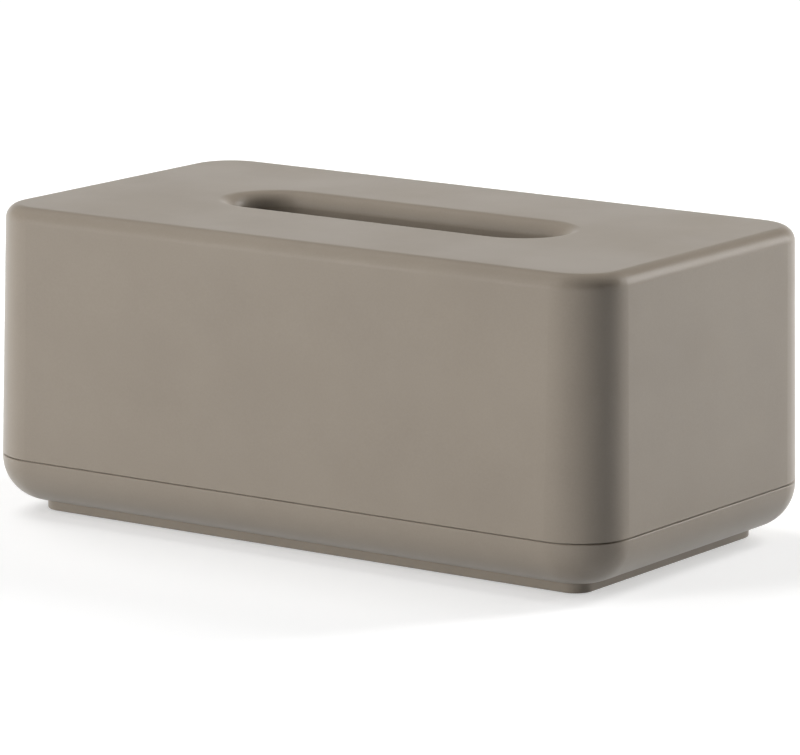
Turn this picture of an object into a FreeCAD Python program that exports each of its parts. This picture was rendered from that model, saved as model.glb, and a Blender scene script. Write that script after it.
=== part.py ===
import FreeCAD, Part
import os
import Sketcher

# A tissue box: a drafted, lift-off cover with a dispensing slot, sitting on a
# shallow base tray. The tray stands on an inset plinth with four non-slip pads.
#
# Millimetres and degrees. +X runs along the length, -Y is the long front face,
# +Z is up. The origin is on the table, under the middle of the box.

SIZES = (
    # Overall
    ("box_length", 245, "outer length at the seam"),
    ("box_width", 136, "outer width at the seam"),
    ("box_height", 104.5, "table to the top of the cover"),
    ("corner_round", 19.5, "upright corners in plan, at the seam"),
    # Seam between the cover and the tray
    ("seam_height", 20.1, "table to the lower edge of the cover"),
    ("seam_gap", 0.4, "height of the shadow line between cover and tray"),
    ("seam_depth", 0.9, "how far the shadow line goes in"),
    # Upstand of the tray, which locates the cover
    ("upstand_height", 6, "above the lower edge of the cover"),
    ("upstand_wall", 1.2, "wall of the upstand"),
    ("upstand_lead", 0.4, "chamfer round the top of the upstand"),
    ("upstand_side_fit", 0.25, "clearance all round between upstand and cover"),
    ("upstand_top_fit", 0.5, "clearance above the upstand"),
    # Cover
    ("cover_wall", 3, "walls and roof of the cover"),
    ("cover_draft", 1.18, "draft of the cover's sides, per side"),
    ("top_round", 5, "round between the top and the sides"),
    ("slot_length", 127, "clear length of the dispensing slot"),
    ("slot_width", 29.5, "clear width of the dispensing slot"),
    ("slot_round", 5, "round from the top into the slot"),
    ("collar_depth", 12, "top of the cover to the lower edge of the collar"),
    ("collar_wall", 2.2, "wall of the collar that lines the slot"),
    ("collar_root", 2.5, "round between the collar and the underside of the roof"),
    ("collar_edge", 0.7, "round of the collar's lower edge"),
    ("guide_rib_wall", 1.6, "thickness of the guide ribs inside the cover"),
    ("guide_rib_reach", 2.2, "how far a guide rib stands in from the wall"),
    ("guide_rib_spacing", 130, "between the two ribs of a long side"),
    # Base tray
    ("tray_wall", 3, "walls and floor of the tray"),
    ("underside_height", 4, "table to the underside of the tray's floor"),
    ("lip_round", 0.5, "round of the tray's edge under the shadow line"),
    ("lip_land", 0.1, "upright strip between the lip and the big round"),
    ("floor_rib_count", 7, "ribs that keep the tissue pack flat"),
    ("floor_rib_pitch", 30, "from one floor rib to the next"),
    ("floor_rib_wall", 1.6, "thickness of a floor rib"),
    ("floor_rib_height", 2.7, "height of a floor rib above the floor"),
    # Plinth
    ("plinth_inset", 14.4, "outline of the box to the face of the plinth"),
    ("plinth_round", 6.7, "upright corners of the plinth in plan"),
    ("plinth_wall", 2.4, "wall of the plinth round its hollow underside"),
    ("plinth_edge", 0.8, "round of the plinth's lower edge"),
    # Non-slip pads and the bosses that hold them
    ("pad_diameter", 12, "diameter of a pad"),
    ("pad_thickness", 1.6, "thickness of a pad"),
    ("pad_proud", 0.4, "how far a pad stands below the plinth"),
    ("pad_edge", 0.3, "chamfer round the pad's lower edge"),
    ("pad_side_fit", 0.15, "clearance all round a pad in its recess"),
    ("pad_setback", 9.5, "faces of the plinth to the middle of a pad"),
    ("boss_wall", 1.6, "wall round the recess of a pad"),
)

# Heights and insets that several features share, worked out from the sizes.
RIM_HEIGHT = "(Sizes.seam_height - Sizes.seam_gap)"
UPSTAND_TOP = "(Sizes.seam_height + Sizes.upstand_height)"
UPSTAND_INSET = "(Sizes.tray_wall - Sizes.upstand_wall)"
REBATE_INSET = "(" + UPSTAND_INSET + " - Sizes.upstand_side_fit)"
REBATE_TOP = "(" + UPSTAND_TOP + " + Sizes.upstand_top_fit)"
FLOOR_HEIGHT = "(Sizes.underside_height + Sizes.tray_wall)"
MID_FLOOR = "(Sizes.underside_height + Sizes.tray_wall / 2)"
COLLAR_BOTTOM = "(Sizes.box_height - Sizes.collar_depth)"
ROOF_UNDERSIDE = "(Sizes.box_height - Sizes.cover_wall)"
MID_ROOF = "(Sizes.box_height - Sizes.cover_wall / 2)"
# The big round takes the whole side of the tray below the lip.
TRAY_ROUND = (
    "min(" + RIM_HEIGHT + " - Sizes.underside_height - Sizes.lip_round - Sizes.lip_land;"
    " Sizes.corner_round - Sizes.lip_land)"
)
PAD_X = "(Sizes.box_length / 2 - Sizes.plinth_inset - Sizes.pad_setback)"
PAD_Y = "(Sizes.box_width / 2 - Sizes.plinth_inset - Sizes.pad_setback)"
RECESS_DEPTH = "(Sizes.pad_thickness - Sizes.pad_proud)"
RECESS_RADIUS = "(Sizes.pad_diameter / 2 + Sizes.pad_side_fit)"

# The corners of the box, named as seen from the front.
CORNERS = (
    ("front_left", -1, -1),
    ("front_right", 1, -1),
    ("back_right", 1, 1),
    ("back_left", -1, 1),
)

TOLERANCE = 1e-4

document = FreeCAD.newDocument("tissue_box")
sheet = document.addObject("Spreadsheet::Sheet", "Sizes")
for row, (alias, size, meaning) in enumerate(SIZES, start=1):
    sheet.set("A%d" % row, alias)
    sheet.set("B%d" % row, str(size))
    sheet.setAlias("B%d" % row, alias)
    sheet.set("C%d" % row, meaning)
document.recompute()


def number(expression):
    """The present value of an expression of sheet sizes."""
    return float(sheet.evalExpression(expression))


# ---------------------------------------------------------------- sketches

def new_body(label):
    body = document.addObject("PartDesign::Body", label)
    body.Label = label
    body.Placement = FreeCAD.Placement()
    return body


def origin_feature(body, role):
    return next(item for item in body.Origin.OriginFeatures if item.Role == role)


def new_sketch(body, name, plane="XY_Plane", offset="0"):
    """A sketch on one of the body's origin planes, moved along its normal."""
    sketch = body.newObject("Sketcher::SketchObject", name)
    sketch.AttachmentSupport = [(origin_feature(body, plane), "")]
    sketch.MapMode = "FlatFace"
    sketch.setExpression("AttachmentOffset.Base.z", offset)
    return sketch


def constrain(sketch, name, kind, *arguments):
    """Add a named size constraint, driven by the expression that comes last."""
    *geometry, expression = arguments
    index = sketch.addConstraint(Sketcher.Constraint(kind, *geometry, number(expression)))
    sketch.renameConstraint(index, name)
    sketch.setExpression("Constraints." + name, expression)


def join_arcs(sketch, arcs):
    """Straight sides, tangent to the arcs, from each arc's end to the next one's start."""
    sides = []
    for first, second in zip(arcs, arcs[1:] + arcs[:1]):
        line = Part.LineSegment(sketch.getPoint(first, 2), sketch.getPoint(second, 1))
        side = sketch.addGeometry(line)
        sketch.addConstraint(Sketcher.Constraint("Tangent", first, 2, side, 1))
        sketch.addConstraint(Sketcher.Constraint("Tangent", side, 2, second, 1))
        sides.append(side)
    return sides


def rounded_rectangle(sketch, inset, corner, prefix="Outer"):
    """The outline of the box, moved in by inset, with round corners."""
    length = "Sizes.box_length - 2 * " + inset
    width = "Sizes.box_width - 2 * " + inset
    radius = number(corner)
    flat_x = number(length) / 2 - radius
    flat_y = number(width) / 2 - radius
    right_angle = Part.Circle().LastParameter / 4
    arcs = []
    for quarter, (x_side, y_side) in enumerate(((1, 1), (-1, 1), (-1, -1), (1, -1))):
        centre = FreeCAD.Vector(x_side * flat_x, y_side * flat_y, 0)
        circle = Part.Circle(centre, FreeCAD.Vector(0, 0, 1), radius)
        start = quarter * right_angle
        arcs.append(sketch.addGeometry(Part.ArcOfCircle(circle, start, start + right_angle)))
    sides = join_arcs(sketch, arcs)
    for other in arcs[1:]:
        sketch.addConstraint(Sketcher.Constraint("Equal", arcs[0], other))
    back, left, front, right = sides
    sketch.addConstraint(Sketcher.Constraint("Horizontal", back))
    sketch.addConstraint(Sketcher.Constraint("Vertical", left))
    sketch.addConstraint(Sketcher.Constraint("Symmetric", back, 1, front, 1, -1, 1))
    constrain(sketch, prefix + "Length", "DistanceX", left, 1, right, 1, length)
    constrain(sketch, prefix + "Width", "DistanceY", front, 1, back, 1, width)
    constrain(sketch, prefix + "Corner", "Radius", arcs[0], corner)


def stadium(sketch, margin):
    """The outline of the slot, moved out by margin: two sides and two round ends."""
    radius_expression = "Sizes.slot_width / 2 + " + margin
    reach_expression = "(Sizes.slot_length - Sizes.slot_width) / 2"
    radius = number(radius_expression)
    reach = number(reach_expression)
    right_angle = Part.Circle().LastParameter / 4
    ends = []
    for centre_x, start in ((reach, -right_angle), (-reach, right_angle)):
        circle = Part.Circle(FreeCAD.Vector(centre_x, 0, 0), FreeCAD.Vector(0, 0, 1), radius)
        arc = Part.ArcOfCircle(circle, start, start + 2 * right_angle)
        ends.append(sketch.addGeometry(arc))
    join_arcs(sketch, ends)
    right, left = ends
    sketch.addConstraint(Sketcher.Constraint("Equal", right, left))
    sketch.addConstraint(Sketcher.Constraint("PointOnObject", right, 3, -1))
    sketch.addConstraint(Sketcher.Constraint("Symmetric", right, 3, left, 3, -1, 1))
    constrain(sketch, "Reach", "DistanceX", -1, 1, right, 3, reach_expression)
    constrain(sketch, "EndRadius", "Radius", right, radius_expression)


def polygon(sketch, corners):
    """A closed outline through corners, each a pair of expressions."""
    places = [FreeCAD.Vector(number(across), number(up), 0) for across, up in corners]
    count = len(places)
    for index in range(count):
        sketch.addGeometry(Part.LineSegment(places[index], places[(index + 1) % count]))
    for index, (across, up) in enumerate(corners):
        following = (index + 1) % count
        sketch.addConstraint(Sketcher.Constraint("Coincident", index, 2, following, 1))
        constrain(sketch, "Across%d" % index, "DistanceX", -1, 1, index, 1, across)
        constrain(sketch, "Up%d" % index, "DistanceY", -1, 1, index, 1, up)


def pad_circles(sketch, radius):
    """A circle at the place of each of the four pads."""
    for index, (corner, x_side, y_side) in enumerate(CORNERS):
        across = "%d * %s" % (x_side, PAD_X)
        along = "%d * %s" % (y_side, PAD_Y)
        centre = FreeCAD.Vector(number(across), number(along), 0)
        sketch.addGeometry(Part.Circle(centre, FreeCAD.Vector(0, 0, 1), number(radius)))
        constrain(sketch, "Across_" + corner, "DistanceX", -1, 1, index, 3, across)
        constrain(sketch, "Along_" + corner, "DistanceY", -1, 1, index, 3, along)
        constrain(sketch, "Radius_" + corner, "Radius", index, radius)


# ---------------------------------------------------------------- features

def solid_volume(body):
    return body.Shape.Volume if not body.Shape.isNull() else 0.0


def settle(body, feature, direction):
    """Recompute, and make sure that the feature added or removed material."""
    before = solid_volume(body)
    body.Tip = feature
    document.recompute()
    if direction * (solid_volume(body) - before) <= 0:
        raise RuntimeError(feature.Label + " changed nothing in " + body.Label)
    return feature


def add_pad(body, sketch, length, symmetric=False):
    pad = body.newObject("PartDesign::Pad", sketch.Name + "_pad")
    pad.Profile = sketch
    pad.SideType = "Symmetric" if symmetric else "One side"
    pad.setExpression("Length", length)
    sketch.Visibility = False
    return settle(body, pad, 1)


def cut_pocket(body, sketch, depth=None, upward=False):
    """Cut down from the sketch, or upward; right through if no depth is given."""
    pocket = body.newObject("PartDesign::Pocket", sketch.Name + "_pocket")
    pocket.Profile = sketch
    pocket.Reversed = upward
    if depth is None:
        pocket.Type = "ThroughAll"
    else:
        pocket.setExpression("Length", depth)
    sketch.Visibility = False
    return settle(body, pocket, -1)


def dress_edges(body, kind, name, base, edges, size):
    """A Fillet or Chamfer of the named edges of the base feature."""
    feature = body.newObject("PartDesign::" + kind, name)
    feature.Base = (base, edges)
    feature.setExpression("Radius" if kind == "Fillet" else "Size", size)
    return feature


def edges_where(feature, wanted):
    edges = feature.Shape.Edges
    names = ["Edge%d" % (index + 1) for index, edge in enumerate(edges) if wanted(edge)]
    if not names:
        raise RuntimeError("no edge to dress on " + feature.Label)
    return names


def is_level(piece, height):
    """Whether an edge or face lies flat at one height."""
    box = piece.BoundBox
    return abs(box.ZMin - height) < TOLERANCE and abs(box.ZMax - height) < TOLERANCE


def level_edges(feature, level):
    height = number(level)
    return edges_where(feature, lambda edge: is_level(edge, height))


def level_face(feature, level):
    """The number of the flat, level face at one height."""
    height = number(level)
    for index, face in enumerate(feature.Shape.Faces, start=1):
        if is_level(face, height):
            return index
    raise RuntimeError("no level face on " + feature.Label)


def outline_edges(feature, level):
    """The outer loop of the level face at one height."""
    face = feature.Shape.Faces[level_face(feature, level) - 1]
    loop = face.OuterWire.Edges
    return edges_where(feature, lambda edge: any(edge.isSame(part) for part in loop))


def hollow_out(body, name, block, level, wall):
    """Shell a block to an even wall, open at its level face at one height."""
    shell = body.newObject("PartDesign::Thickness", name)
    shell.Base = (block, ["Face%d" % level_face(block, level)])
    shell.Reversed = True
    shell.Join = "Intersection"
    shell.setExpression("Value", wall)
    return settle(body, shell, -1)


# ---------------------------------------------------------------- cover

def drafted_block(body):
    """The outside of the cover: a tall block with drafted sides and a round top."""
    outline = new_sketch(body, "cover_outline", offset="Sizes.seam_height")
    rounded_rectangle(outline, "0", "Sizes.corner_round")
    block = add_pad(body, outline, "Sizes.box_height - Sizes.seam_height")
    draft = body.newObject("PartDesign::Draft", "cover_side_draft")
    sides = []
    for index, face in enumerate(block.Shape.Faces, start=1):
        if face.BoundBox.ZLength > TOLERANCE:
            sides.append("Face%d" % index)
    draft.Base = (block, sides)
    lower_face = "Face%d" % level_face(block, "Sizes.seam_height")
    draft.NeutralPlane = (block, [lower_face])
    draft.Reversed = False
    draft.setExpression("Angle", "Sizes.cover_draft")
    settle(body, draft, -1)
    edges = level_edges(draft, "Sizes.box_height")
    top_round = dress_edges(
        body, "Fillet", "cover_top_round", draft, edges, "Sizes.top_round")
    return settle(body, top_round, -1)


def hollow_cover(body, block):
    """Shell the block from below, then rebate its lower edge for the upstand."""
    hollow_out(body, "cover_shell", block, "Sizes.seam_height", "Sizes.cover_wall")
    rebate = new_sketch(body, "cover_rebate", offset="Sizes.seam_height")
    rounded_rectangle(rebate, REBATE_INSET, "Sizes.corner_round - " + REBATE_INSET)
    cut_pocket(body, rebate, REBATE_TOP + " - Sizes.seam_height", upward=True)


def slot_edges(feature, level, margin):
    """The level edges at one height within the slot's outline, moved out by margin."""
    height = number(level)
    reach = number("Sizes.slot_length / 2 + " + margin) + TOLERANCE

    def is_near_slot(edge):
        box = edge.BoundBox
        return is_level(edge, height) and max(box.XMax, -box.XMin) < reach

    return edges_where(feature, is_near_slot)


def collared_slot(body):
    """The dispensing slot, lined by a collar that is turned down from the top."""
    collar = new_sketch(body, "slot_collar", offset=COLLAR_BOTTOM)
    stadium(collar, "Sizes.collar_wall")
    ring = add_pad(body, collar, MID_ROOF + " - " + COLLAR_BOTTOM)
    foot = slot_edges(ring, ROOF_UNDERSIDE, "Sizes.collar_wall")
    root = dress_edges(body, "Fillet", "collar_root", ring, foot, "Sizes.collar_root")
    settle(body, root, 1)
    slot = new_sketch(body, "dispensing_slot", offset="Sizes.box_height")
    stadium(slot, "0")
    opening = cut_pocket(body, slot)
    mouth = slot_edges(opening, "Sizes.box_height", "0")
    rolled = dress_edges(body, "Fillet", "slot_round", opening, mouth, "Sizes.slot_round")
    settle(body, rolled, -1)
    lower = level_edges(rolled, COLLAR_BOTTOM)
    eased = dress_edges(body, "Fillet", "collar_edge", rolled, lower, "Sizes.collar_edge")
    settle(body, eased, -1)


def guide_rib(body, name, plane, half_width, place):
    """A rib up the inside of a wall, from above the upstand to below the roof."""
    rib_top = "(Sizes.box_height - Sizes.cover_wall - Sizes.top_round)"
    tangent = "tan(Sizes.cover_draft * 1 deg)"
    wall_middle = "(" + half_width + " - Sizes.cover_wall / 2"
    foot_in_wall = wall_middle + " - (%s - Sizes.seam_height) * %s)" % (REBATE_TOP, tangent)
    head_in_wall = wall_middle + " - (%s - Sizes.seam_height) * %s)" % (rib_top, tangent)
    crest = "(" + half_width + " - Sizes.cover_wall - Sizes.guide_rib_reach)"
    sketch = new_sketch(body, name, plane=plane, offset=place)
    polygon(sketch, (
        (foot_in_wall, REBATE_TOP),
        (head_in_wall, rib_top),
        (crest, rib_top),
        (crest, REBATE_TOP),
    ))
    return add_pad(body, sketch, "Sizes.guide_rib_wall", symmetric=True)


def mirror(body, name, originals, plane):
    copy = body.newObject("PartDesign::Mirrored", name)
    copy.Originals = originals
    copy.MirrorPlane = (origin_feature(body, plane), [""])
    return settle(body, copy, 1)


def build_cover():
    body = new_body("cover")
    hollow_cover(body, drafted_block(body))
    collared_slot(body)
    side_ribs = [
        guide_rib(body, "side_rib_" + end, "YZ_Plane", "Sizes.box_width / 2",
                  "%d * Sizes.guide_rib_spacing / 2" % sign)
        for end, sign in (("left", -1), ("right", 1))
    ]
    mirror(body, "front_ribs", side_ribs, "XZ_Plane")
    end_rib = guide_rib(body, "end_rib", "XZ_Plane", "Sizes.box_length / 2", "0")
    mirror(body, "far_end_rib", [end_rib], "YZ_Plane")
    return body


# ---------------------------------------------------------------- base tray

def tray_ring(body, name, level, outer, height):
    """A ring on the tray's wall, from an outer inset to the inside of the wall."""
    ring = new_sketch(body, name, offset=level)
    rounded_rectangle(ring, outer, "Sizes.corner_round - " + outer)
    inner = "Sizes.tray_wall"
    rounded_rectangle(ring, inner, "Sizes.corner_round - " + inner, prefix="Inner")
    return add_pad(body, ring, height)


def tray_bowl(body):
    """The bowl-like shell of the tray, with the ledge and upstand of its rim."""
    outline = new_sketch(body, "tray_outline", offset="Sizes.underside_height")
    rounded_rectangle(outline, "0", "Sizes.corner_round")
    block = add_pad(body, outline, RIM_HEIGHT + " - Sizes.underside_height")
    edges = level_edges(block, "Sizes.underside_height")
    bowl = dress_edges(body, "Fillet", "tray_round", block, edges, TRAY_ROUND)
    settle(body, bowl, -1)
    shell = hollow_out(body, "tray_shell", bowl, RIM_HEIGHT, "Sizes.tray_wall")
    edges = outline_edges(shell, RIM_HEIGHT)
    lip = dress_edges(body, "Fillet", "tray_lip", shell, edges, "Sizes.lip_round")
    settle(body, lip, -1)
    tray_ring(body, "ledge", RIM_HEIGHT, "Sizes.seam_depth", "Sizes.seam_gap")
    raised = tray_ring(
        body, "upstand", "Sizes.seam_height", UPSTAND_INSET, "Sizes.upstand_height")
    edges = outline_edges(raised, UPSTAND_TOP)
    lead = dress_edges(body, "Chamfer", "upstand_lead", raised, edges, "Sizes.upstand_lead")
    settle(body, lead, -1)


def floor_ribs(body):
    """Cross ribs that carry the tissue pack and run out into the bowl's wall."""
    rib_top = "(" + FLOOR_HEIGHT + " + Sizes.floor_rib_height)"
    middle_radius = "(" + TRAY_ROUND + " - Sizes.tray_wall / 2)"
    drop = "(Sizes.underside_height + " + TRAY_ROUND + " - " + rib_top + ")"
    foot = "(Sizes.box_width / 2 - " + TRAY_ROUND + ")"
    head = "(%s + sqrt(%s ^ 2 - %s ^ 2))" % (foot, middle_radius, drop)
    first_place = "(1 - Sizes.floor_rib_count) * Sizes.floor_rib_pitch / 2"
    sketch = new_sketch(body, "floor_rib", plane="YZ_Plane", offset=first_place)
    polygon(sketch, (
        ("-1 * " + foot, MID_FLOOR),
        (foot, MID_FLOOR),
        (head, rib_top),
        ("-1 * " + head, rib_top),
    ))
    rib = add_pad(body, sketch, "Sizes.floor_rib_wall", symmetric=True)
    row = body.newObject("PartDesign::LinearPattern", "floor_ribs")
    row.Originals = [rib]
    row.Direction = (origin_feature(body, "X_Axis"), [""])
    row.Mode = "Spacing"
    row.setExpression("Offset", "Sizes.floor_rib_pitch")
    row.setExpression("Occurrences", "Sizes.floor_rib_count")
    settle(body, row, 1)


def tray_underside(body):
    """The inset plinth, hollow from below, with a boss and a recess for each pad."""
    foot = new_sketch(body, "plinth", offset="Sizes.pad_proud")
    rounded_rectangle(foot, "Sizes.plinth_inset", "Sizes.plinth_round")
    plinth = add_pad(body, foot, MID_FLOOR + " - Sizes.pad_proud")
    edges = outline_edges(plinth, "Sizes.pad_proud")
    eased = dress_edges(body, "Fillet", "plinth_edge", plinth, edges, "Sizes.plinth_edge")
    settle(body, eased, -1)
    hollow = new_sketch(body, "plinth_hollow", offset="Sizes.pad_proud")
    inner = "(Sizes.plinth_inset + Sizes.plinth_wall)"
    rounded_rectangle(hollow, inner, "Sizes.plinth_round - Sizes.plinth_wall")
    cut_pocket(body, hollow, "Sizes.underside_height - Sizes.pad_proud", upward=True)
    bosses = new_sketch(body, "pad_bosses", offset="Sizes.pad_proud")
    pad_circles(bosses, RECESS_RADIUS + " + Sizes.boss_wall")
    add_pad(body, bosses, MID_FLOOR + " - Sizes.pad_proud")
    recesses = new_sketch(body, "pad_recesses", offset="Sizes.pad_proud")
    pad_circles(recesses, RECESS_RADIUS)
    cut_pocket(body, recesses, RECESS_DEPTH, upward=True)


def build_base_tray():
    body = new_body("base_tray")
    tray_bowl(body)
    floor_ribs(body)
    tray_underside(body)
    return body


# ---------------------------------------------------------------- pads

def build_pad(corner, x_side, y_side):
    """A round non-slip pad, stuck to the top of its recess."""
    body = new_body("foot_pad_" + corner)
    disc = new_sketch(body, corner + "_disc")
    origin = FreeCAD.Vector(0, 0, 0)
    radius = "Sizes.pad_diameter / 2"
    disc.addGeometry(Part.Circle(origin, FreeCAD.Vector(0, 0, 1), number(radius)))
    disc.addConstraint(Sketcher.Constraint("Coincident", 0, 3, -1, 1))
    constrain(disc, "DiscRadius", "Radius", 0, radius)
    slab = add_pad(body, disc, "Sizes.pad_thickness")
    edges = level_edges(slab, "0")
    eased = dress_edges(body, "Chamfer", corner + "_edge", slab, edges, "Sizes.pad_edge")
    settle(body, eased, -1)
    body.setExpression("Placement.Base.x", "%d * %s" % (x_side, PAD_X))
    body.setExpression("Placement.Base.y", "%d * %s" % (y_side, PAD_Y))
    return body


# ---------------------------------------------------------------- document

def check_document(bodies):
    """Every object settled without failing, and every piece is one sound solid."""
    for item in document.Objects:
        if "Invalid" in item.State or "Error" in item.State:
            raise RuntimeError(item.Label + " failed to recompute")
    for body in bodies:
        shape = body.Shape
        if shape.isNull() or not shape.isValid() or len(shape.Solids) != 1:
            raise RuntimeError(body.Label + " is not one sound solid")


def main():
    bodies = [build_cover(), build_base_tray()]
    bodies += [build_pad(*corner) for corner in CORNERS]
    document.recompute()
    check_document(bodies)
    os.makedirs("parts", exist_ok=True)
    for body in bodies:
        body.Shape.exportStep("parts/%s.step" % body.Label)


main()
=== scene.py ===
"""Looks of the tissue box: satin moulded plastic and rubber, a pale studio and the camera.

Metres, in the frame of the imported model: +X along the length, -Y to the long front face,
+Z up, with the origin on the table under the middle of the box.
"""
import math

import bpy
from mathutils import Matrix, Vector

MM = 0.001
BLACK = (0, 0, 0, 1)
WHITE = (1, 1, 1, 1)

# Camera: it looks at the box from the front right, a little above. Angles in degrees.
CAMERA_AZIMUTH = 34.438
CAMERA_ELEVATION = 11.155
CAMERA_ROLL = 0.341
CAMERA_DISTANCE = 1.8407
# The point that the picture is centred on, along the camera's right and up from the origin.
CENTRE_RIGHT = 1.42 * MM
CENTRE_UP = 48.46 * MM
# Both in the camera's own millimetres.
FOCAL_LENGTH = 248.34
SENSOR_WIDTH = 36.0

FLOOR_SIZE = 12
# The floor's colour as it lights the box, and as it is seen, where it also glows a little.
FLOOR_BOUNCE = (0.45, 0.45, 0.45, 1)
FLOOR_SEEN = (0.7, 0.7, 0.7, 1)
FLOOR_GLOW = 0.46
# How far out the floor that is seen starts to turn to plain white, and is white.
FLOOR_WHITENS = (0.7, 1.9)
# The world's strength as it lights the box, and as it is seen: overhead, and at the horizon.
WORLD_LIGHT = 0.05
WORLD_SEEN = 0.06
HORIZON_SEEN = 1.0
# The sines of the elevations between which the horizon gives way to overhead.
HORIZON_FADES = (0.02, 0.44)

# Soft boxes: azimuth and elevation in degrees, distance, width and height in metres, watts.
# Those of the first kind light the body colour alone, and the other shows in the gloss alone.
BODY_BOXES = {
    "front_low_box": (-32, 8, 2.6, 0.9, 0.7, 36),
    "front_high_box": (-32, 38, 2.6, 0.9, 1.6, 20),
    "left_box": (-95, 58, 2.6, 1.6, 1.6, 30),
    "right_low_box": (154, 8, 2.6, 0.8, 0.7, 46),
    "right_high_box": (154, 36, 2.6, 0.8, 1.6, 43),
}
GLOSS_BOXES = {
    "right_card": (150, 20, 2.6, 1.0, 1.1, 9),
}

# Noise patterns: lumps to the metre, and how many finer layers each has.
CLOUD = (38, 3)
SPECK = (1400, 2)
SMEAR = (24, 4)
MOULD_GRAIN = (2200, 3)
DUST = (300, 4)
RUBBER_GRAIN = (1100, 3)
# The part of a pattern's values that is stretched: most of them, or the middle alone.
MOST_LUMPS = (0.3, 0.7)
MID_LUMPS = (0.35, 0.65)

# Warm grey satin plastic. The tone wanders between the two colours, and about their middle.
PLASTIC_DEEP = (0.287, 0.245, 0.198, 1)
PLASTIC_LIGHT = (0.311, 0.267, 0.216, 1)
CLOUD_TONES = (0.15, 0.85)
SPECK_TONES = (-0.25, 0.25)
PLASTIC_ROUGHNESS = (0.30, 0.36)
PLASTIC_IOR = 1.5
MOULD_GRAIN_DEPTH = 0.004 * MM
# What handling does to a crisp edge: how far in it reaches, and how polished and pale it gets.
EDGE_REACH = 0.9 * MM
EDGE_POLISH = 0.05
EDGE_PALING = 0.6
EDGE_SAMPLES = 6
# The cosine between a face and its softened self, where an edge starts and on a full edge.
EDGE_COSINES = (0.99, 0.88)

RUBBER_DEEP = (0.060, 0.055, 0.050, 1)
RUBBER_LIGHT = (0.095, 0.088, 0.080, 1)
RUBBER_ROUGHNESS = (0.62, 0.78)
RUBBER_GRAIN_DEPTH = 0.02 * MM


# ---------------------------------------------------------------- nodes

def feed(tree, socket, term):
    """Gives an input socket its term: an output socket, a number or a colour."""
    if isinstance(term, bpy.types.NodeSocket):
        tree.links.new(term, socket)
    else:
        socket.default_value = term


def calculate(tree, operation, first, second):
    """A Math node's value; first and second are sockets or numbers."""
    node = tree.nodes.new("ShaderNodeMath")
    node.operation = operation
    for socket, term in zip(node.inputs, (first, second)):
        feed(tree, socket, term)
    return node.outputs["Value"]


def mix(tree, kind, share, low, high):
    """low where share is 0, high where it is 1. kind is FLOAT, or RGBA for colours."""
    node = tree.nodes.new("ShaderNodeMix")
    node.data_type = kind
    for name, term in zip(("Factor", "A", "B"), (share, low, high)):
        feed(tree, node.inputs[name], term)
    return node.outputs["Result"]


def stretch(tree, value, source, target, interpolation="LINEAR"):
    """Carries the ends of source to the ends of target, and stops there."""
    ramp = tree.nodes.new("ShaderNodeMapRange")
    ramp.interpolation_type = interpolation
    tree.links.new(value, ramp.inputs["Value"])
    names = ("From Min", "From Max", "To Min", "To Max")
    for name, number in zip(names, (*source, *target)):
        ramp.inputs[name].default_value = number
    return ramp.outputs["Result"]


def lumps(tree, scale, detail):
    """Noise about a half over the piece, with scale lumps to the metre."""
    place = tree.nodes.new("ShaderNodeTexCoord")
    noise = tree.nodes.new("ShaderNodeTexNoise")
    tree.links.new(place.outputs["Object"], noise.inputs["Vector"])
    noise.inputs["Scale"].default_value = scale
    noise.inputs["Detail"].default_value = detail
    return noise.outputs["Fac"]


def crisp_edges(tree):
    """0 on open faces and soft rounds, rising to 1 on the crisp edges."""
    softened = tree.nodes.new("ShaderNodeBevel")
    softened.samples = EDGE_SAMPLES
    softened.inputs["Radius"].default_value = EDGE_REACH
    true_face = tree.nodes.new("ShaderNodeNewGeometry")
    agree = tree.nodes.new("ShaderNodeVectorMath")
    agree.operation = "DOT_PRODUCT"
    for socket, source in zip(agree.inputs, (softened, true_face)):
        tree.links.new(source.outputs["Normal"], socket)
    return stretch(tree, agree.outputs["Value"], EDGE_COSINES, (0, 1))


def seen_share(tree):
    """1 on a ray that shows a thing to the camera, in gloss or through glass, and 0 on others."""
    path = tree.nodes.new("ShaderNodeLightPath")
    share = calculate(
        tree, "MAXIMUM", path.outputs["Is Camera Ray"], path.outputs["Is Glossy Ray"])
    return calculate(tree, "MAXIMUM", share, path.outputs["Is Transmission Ray"])


# ---------------------------------------------------------------- materials

def new_material(name):
    material = bpy.data.materials.new(name)
    material.use_nodes = True
    return material, material.node_tree, material.node_tree.nodes["Principled BSDF"]


def grain(tree, shader, pattern, depth):
    """A fine moulded texture, as bumps of that depth in metres."""
    bump = tree.nodes.new("ShaderNodeBump")
    bump.inputs["Distance"].default_value = depth
    tree.links.new(lumps(tree, *pattern), bump.inputs["Height"])
    tree.links.new(bump.outputs["Normal"], shader.inputs["Normal"])


def plastic(name):
    """Moulded plastic: a cloudy tone with fine specks, smears in its gloss, a fine matt grain,
    and crisp edges polished and paled by handling."""
    material, tree, shader = new_material(name)
    worn = crisp_edges(tree)
    cloud = stretch(tree, lumps(tree, *CLOUD), MOST_LUMPS, CLOUD_TONES)
    speck = stretch(tree, lumps(tree, *SPECK), MOST_LUMPS, SPECK_TONES)
    paling = calculate(tree, "MULTIPLY", worn, EDGE_PALING)
    tone = calculate(tree, "ADD", calculate(tree, "ADD", cloud, speck), paling)
    colour = mix(tree, "RGBA", tone, PLASTIC_DEEP, PLASTIC_LIGHT)
    tree.links.new(colour, shader.inputs["Base Color"])
    smear = stretch(tree, lumps(tree, *SMEAR), MID_LUMPS, PLASTIC_ROUGHNESS)
    polish = calculate(tree, "MULTIPLY", worn, EDGE_POLISH)
    roughness = calculate(tree, "SUBTRACT", smear, polish)
    tree.links.new(roughness, shader.inputs["Roughness"])
    shader.inputs["IOR"].default_value = PLASTIC_IOR
    grain(tree, shader, MOULD_GRAIN, MOULD_GRAIN_DEPTH)
    return material


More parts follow.
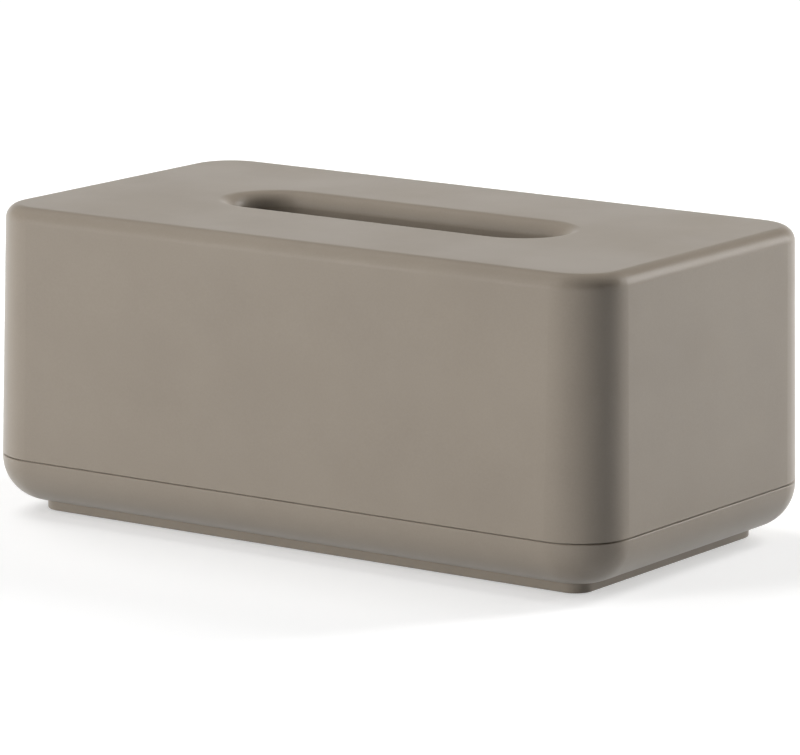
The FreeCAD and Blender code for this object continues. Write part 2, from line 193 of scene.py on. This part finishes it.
def rubber(name):
    """Matt dark rubber, a little dusty."""
    material, tree, shader = new_material(name)
    dust = stretch(tree, lumps(tree, *DUST), MID_LUMPS, (0, 1))
    colour = mix(tree, "RGBA", dust, RUBBER_DEEP, RUBBER_LIGHT)
    tree.links.new(colour, shader.inputs["Base Color"])
    roughness = stretch(tree, dust, (0, 1), RUBBER_ROUGHNESS)
    tree.links.new(roughness, shader.inputs["Roughness"])
    grain(tree, shader, RUBBER_GRAIN, RUBBER_GRAIN_DEPTH)
    return material


def dress(piece, material):
    piece.data.materials.clear()
    piece.data.materials.append(material)


# ---------------------------------------------------------------- studio

def bearing(azimuth, elevation):
    """The unit vector away from the box at those angles, in degrees from the front face."""
    turn = math.radians(azimuth)
    rise = math.radians(elevation)
    return Vector((
        math.sin(turn) * math.cos(rise), -math.cos(turn) * math.cos(rise), math.sin(rise)))


def soft_box(name, azimuth, elevation, distance, width, height, power):
    """A soft box at a bearing, facing the origin."""
    light = bpy.data.lights.new(name, "AREA")
    light.shape = "RECTANGLE"
    light.size = width
    light.size_y = height
    light.energy = power
    lamp = bpy.data.objects.new(name, light)
    bpy.context.scene.collection.objects.link(lamp)
    away = bearing(azimuth, elevation)
    lamp.location = away * distance
    lamp.rotation_euler = away.to_track_quat("Z", "Y").to_euler()
    return lamp


def build_lamps():
    for name, placing in BODY_BOXES.items():
        soft_box(name, *placing).visible_glossy = False
    for name, placing in GLOSS_BOXES.items():
        soft_box(name, *placing).visible_diffuse = False


def build_camera():
    back = bearing(CAMERA_AZIMUTH, CAMERA_ELEVATION)
    right = (-back).cross(Vector((0, 0, 1))).normalized()
    up = right.cross(-back)
    place = right * CENTRE_RIGHT + up * CENTRE_UP + back * CAMERA_DISTANCE
    level = Matrix((right, up, back)).transposed()
    roll = Matrix.Rotation(math.radians(CAMERA_ROLL), 3, "Z")
    lens = bpy.data.cameras.new("camera")
    lens.lens = FOCAL_LENGTH
    lens.sensor_width = SENSOR_WIDTH
    camera = bpy.data.objects.new("camera", lens)
    bpy.context.scene.collection.objects.link(camera)
    camera.matrix_world = Matrix.Translation(place) @ (level @ roll).to_4x4()
    bpy.context.scene.camera = camera


def build_floor():
    """A pale floor that shows white in the open, and keeps the shadow of the box."""
    bpy.ops.mesh.primitive_plane_add(size=FLOOR_SIZE)
    floor = bpy.context.object
    floor.name = "floor"
    material, tree, shader = new_material("pale_floor")
    shader.inputs["Roughness"].default_value = 1.0
    shader.inputs["Specular IOR Level"].default_value = 0.0
    shader.inputs["Emission Color"].default_value = WHITE
    reach = tree.nodes.new("ShaderNodeVectorMath")
    reach.operation = "LENGTH"
    geometry = tree.nodes.new("ShaderNodeNewGeometry")
    tree.links.new(geometry.outputs["Position"], reach.inputs[0])
    near = stretch(tree, reach.outputs["Value"], FLOOR_WHITENS, (1, 0))
    seen = seen_share(tree)
    # Far out, the colour gives way to a full glow.
    shown = mix(tree, "RGBA", near, BLACK, FLOOR_SEEN)
    colour = mix(tree, "RGBA", seen, FLOOR_BOUNCE, shown)
    tree.links.new(colour, shader.inputs["Base Color"])
    glow = stretch(tree, near, (0, 1), (1, FLOOR_GLOW))
    strength = calculate(tree, "MULTIPLY", seen, glow)
    tree.links.new(strength, shader.inputs["Emission Strength"])
    floor.data.materials.append(material)


def build_world():
    """A dim room, seen white where it meets the floor and darker overhead."""
    world = bpy.data.worlds.new("studio")
    bpy.context.scene.world = world
    world.use_nodes = True
    tree = world.node_tree
    background = tree.nodes["Background"]
    background.inputs["Color"].default_value = WHITE
    direction = tree.nodes.new("ShaderNodeTexCoord")
    parts = tree.nodes.new("ShaderNodeSeparateXYZ")
    tree.links.new(direction.outputs["Generated"], parts.inputs["Vector"])
    height = stretch(tree, parts.outputs["Z"], HORIZON_FADES, (0, 1), "SMOOTHSTEP")
    shown = mix(tree, "FLOAT", height, HORIZON_SEEN, WORLD_SEEN)
    strength = mix(tree, "FLOAT", seen_share(tree), WORLD_LIGHT, shown)
    tree.links.new(strength, background.inputs["Strength"])


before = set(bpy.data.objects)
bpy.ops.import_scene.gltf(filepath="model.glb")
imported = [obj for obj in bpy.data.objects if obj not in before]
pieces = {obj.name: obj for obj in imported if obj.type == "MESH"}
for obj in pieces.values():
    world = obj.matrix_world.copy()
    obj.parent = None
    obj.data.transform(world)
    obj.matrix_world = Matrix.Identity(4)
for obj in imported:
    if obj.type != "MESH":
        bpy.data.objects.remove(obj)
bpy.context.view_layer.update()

dress(pieces["cover"], plastic("cover_plastic"))
dress(pieces["base_tray"], plastic("tray_plastic"))
pad_material = rubber("pad_rubber")
for corner in ("front_left", "front_right", "back_right", "back_left"):
    dress(pieces["foot_pad_" + corner], pad_material)

build_camera()
build_floor()
build_world()
build_lamps()

bpy.context.scene.view_settings.view_transform = "Standard"
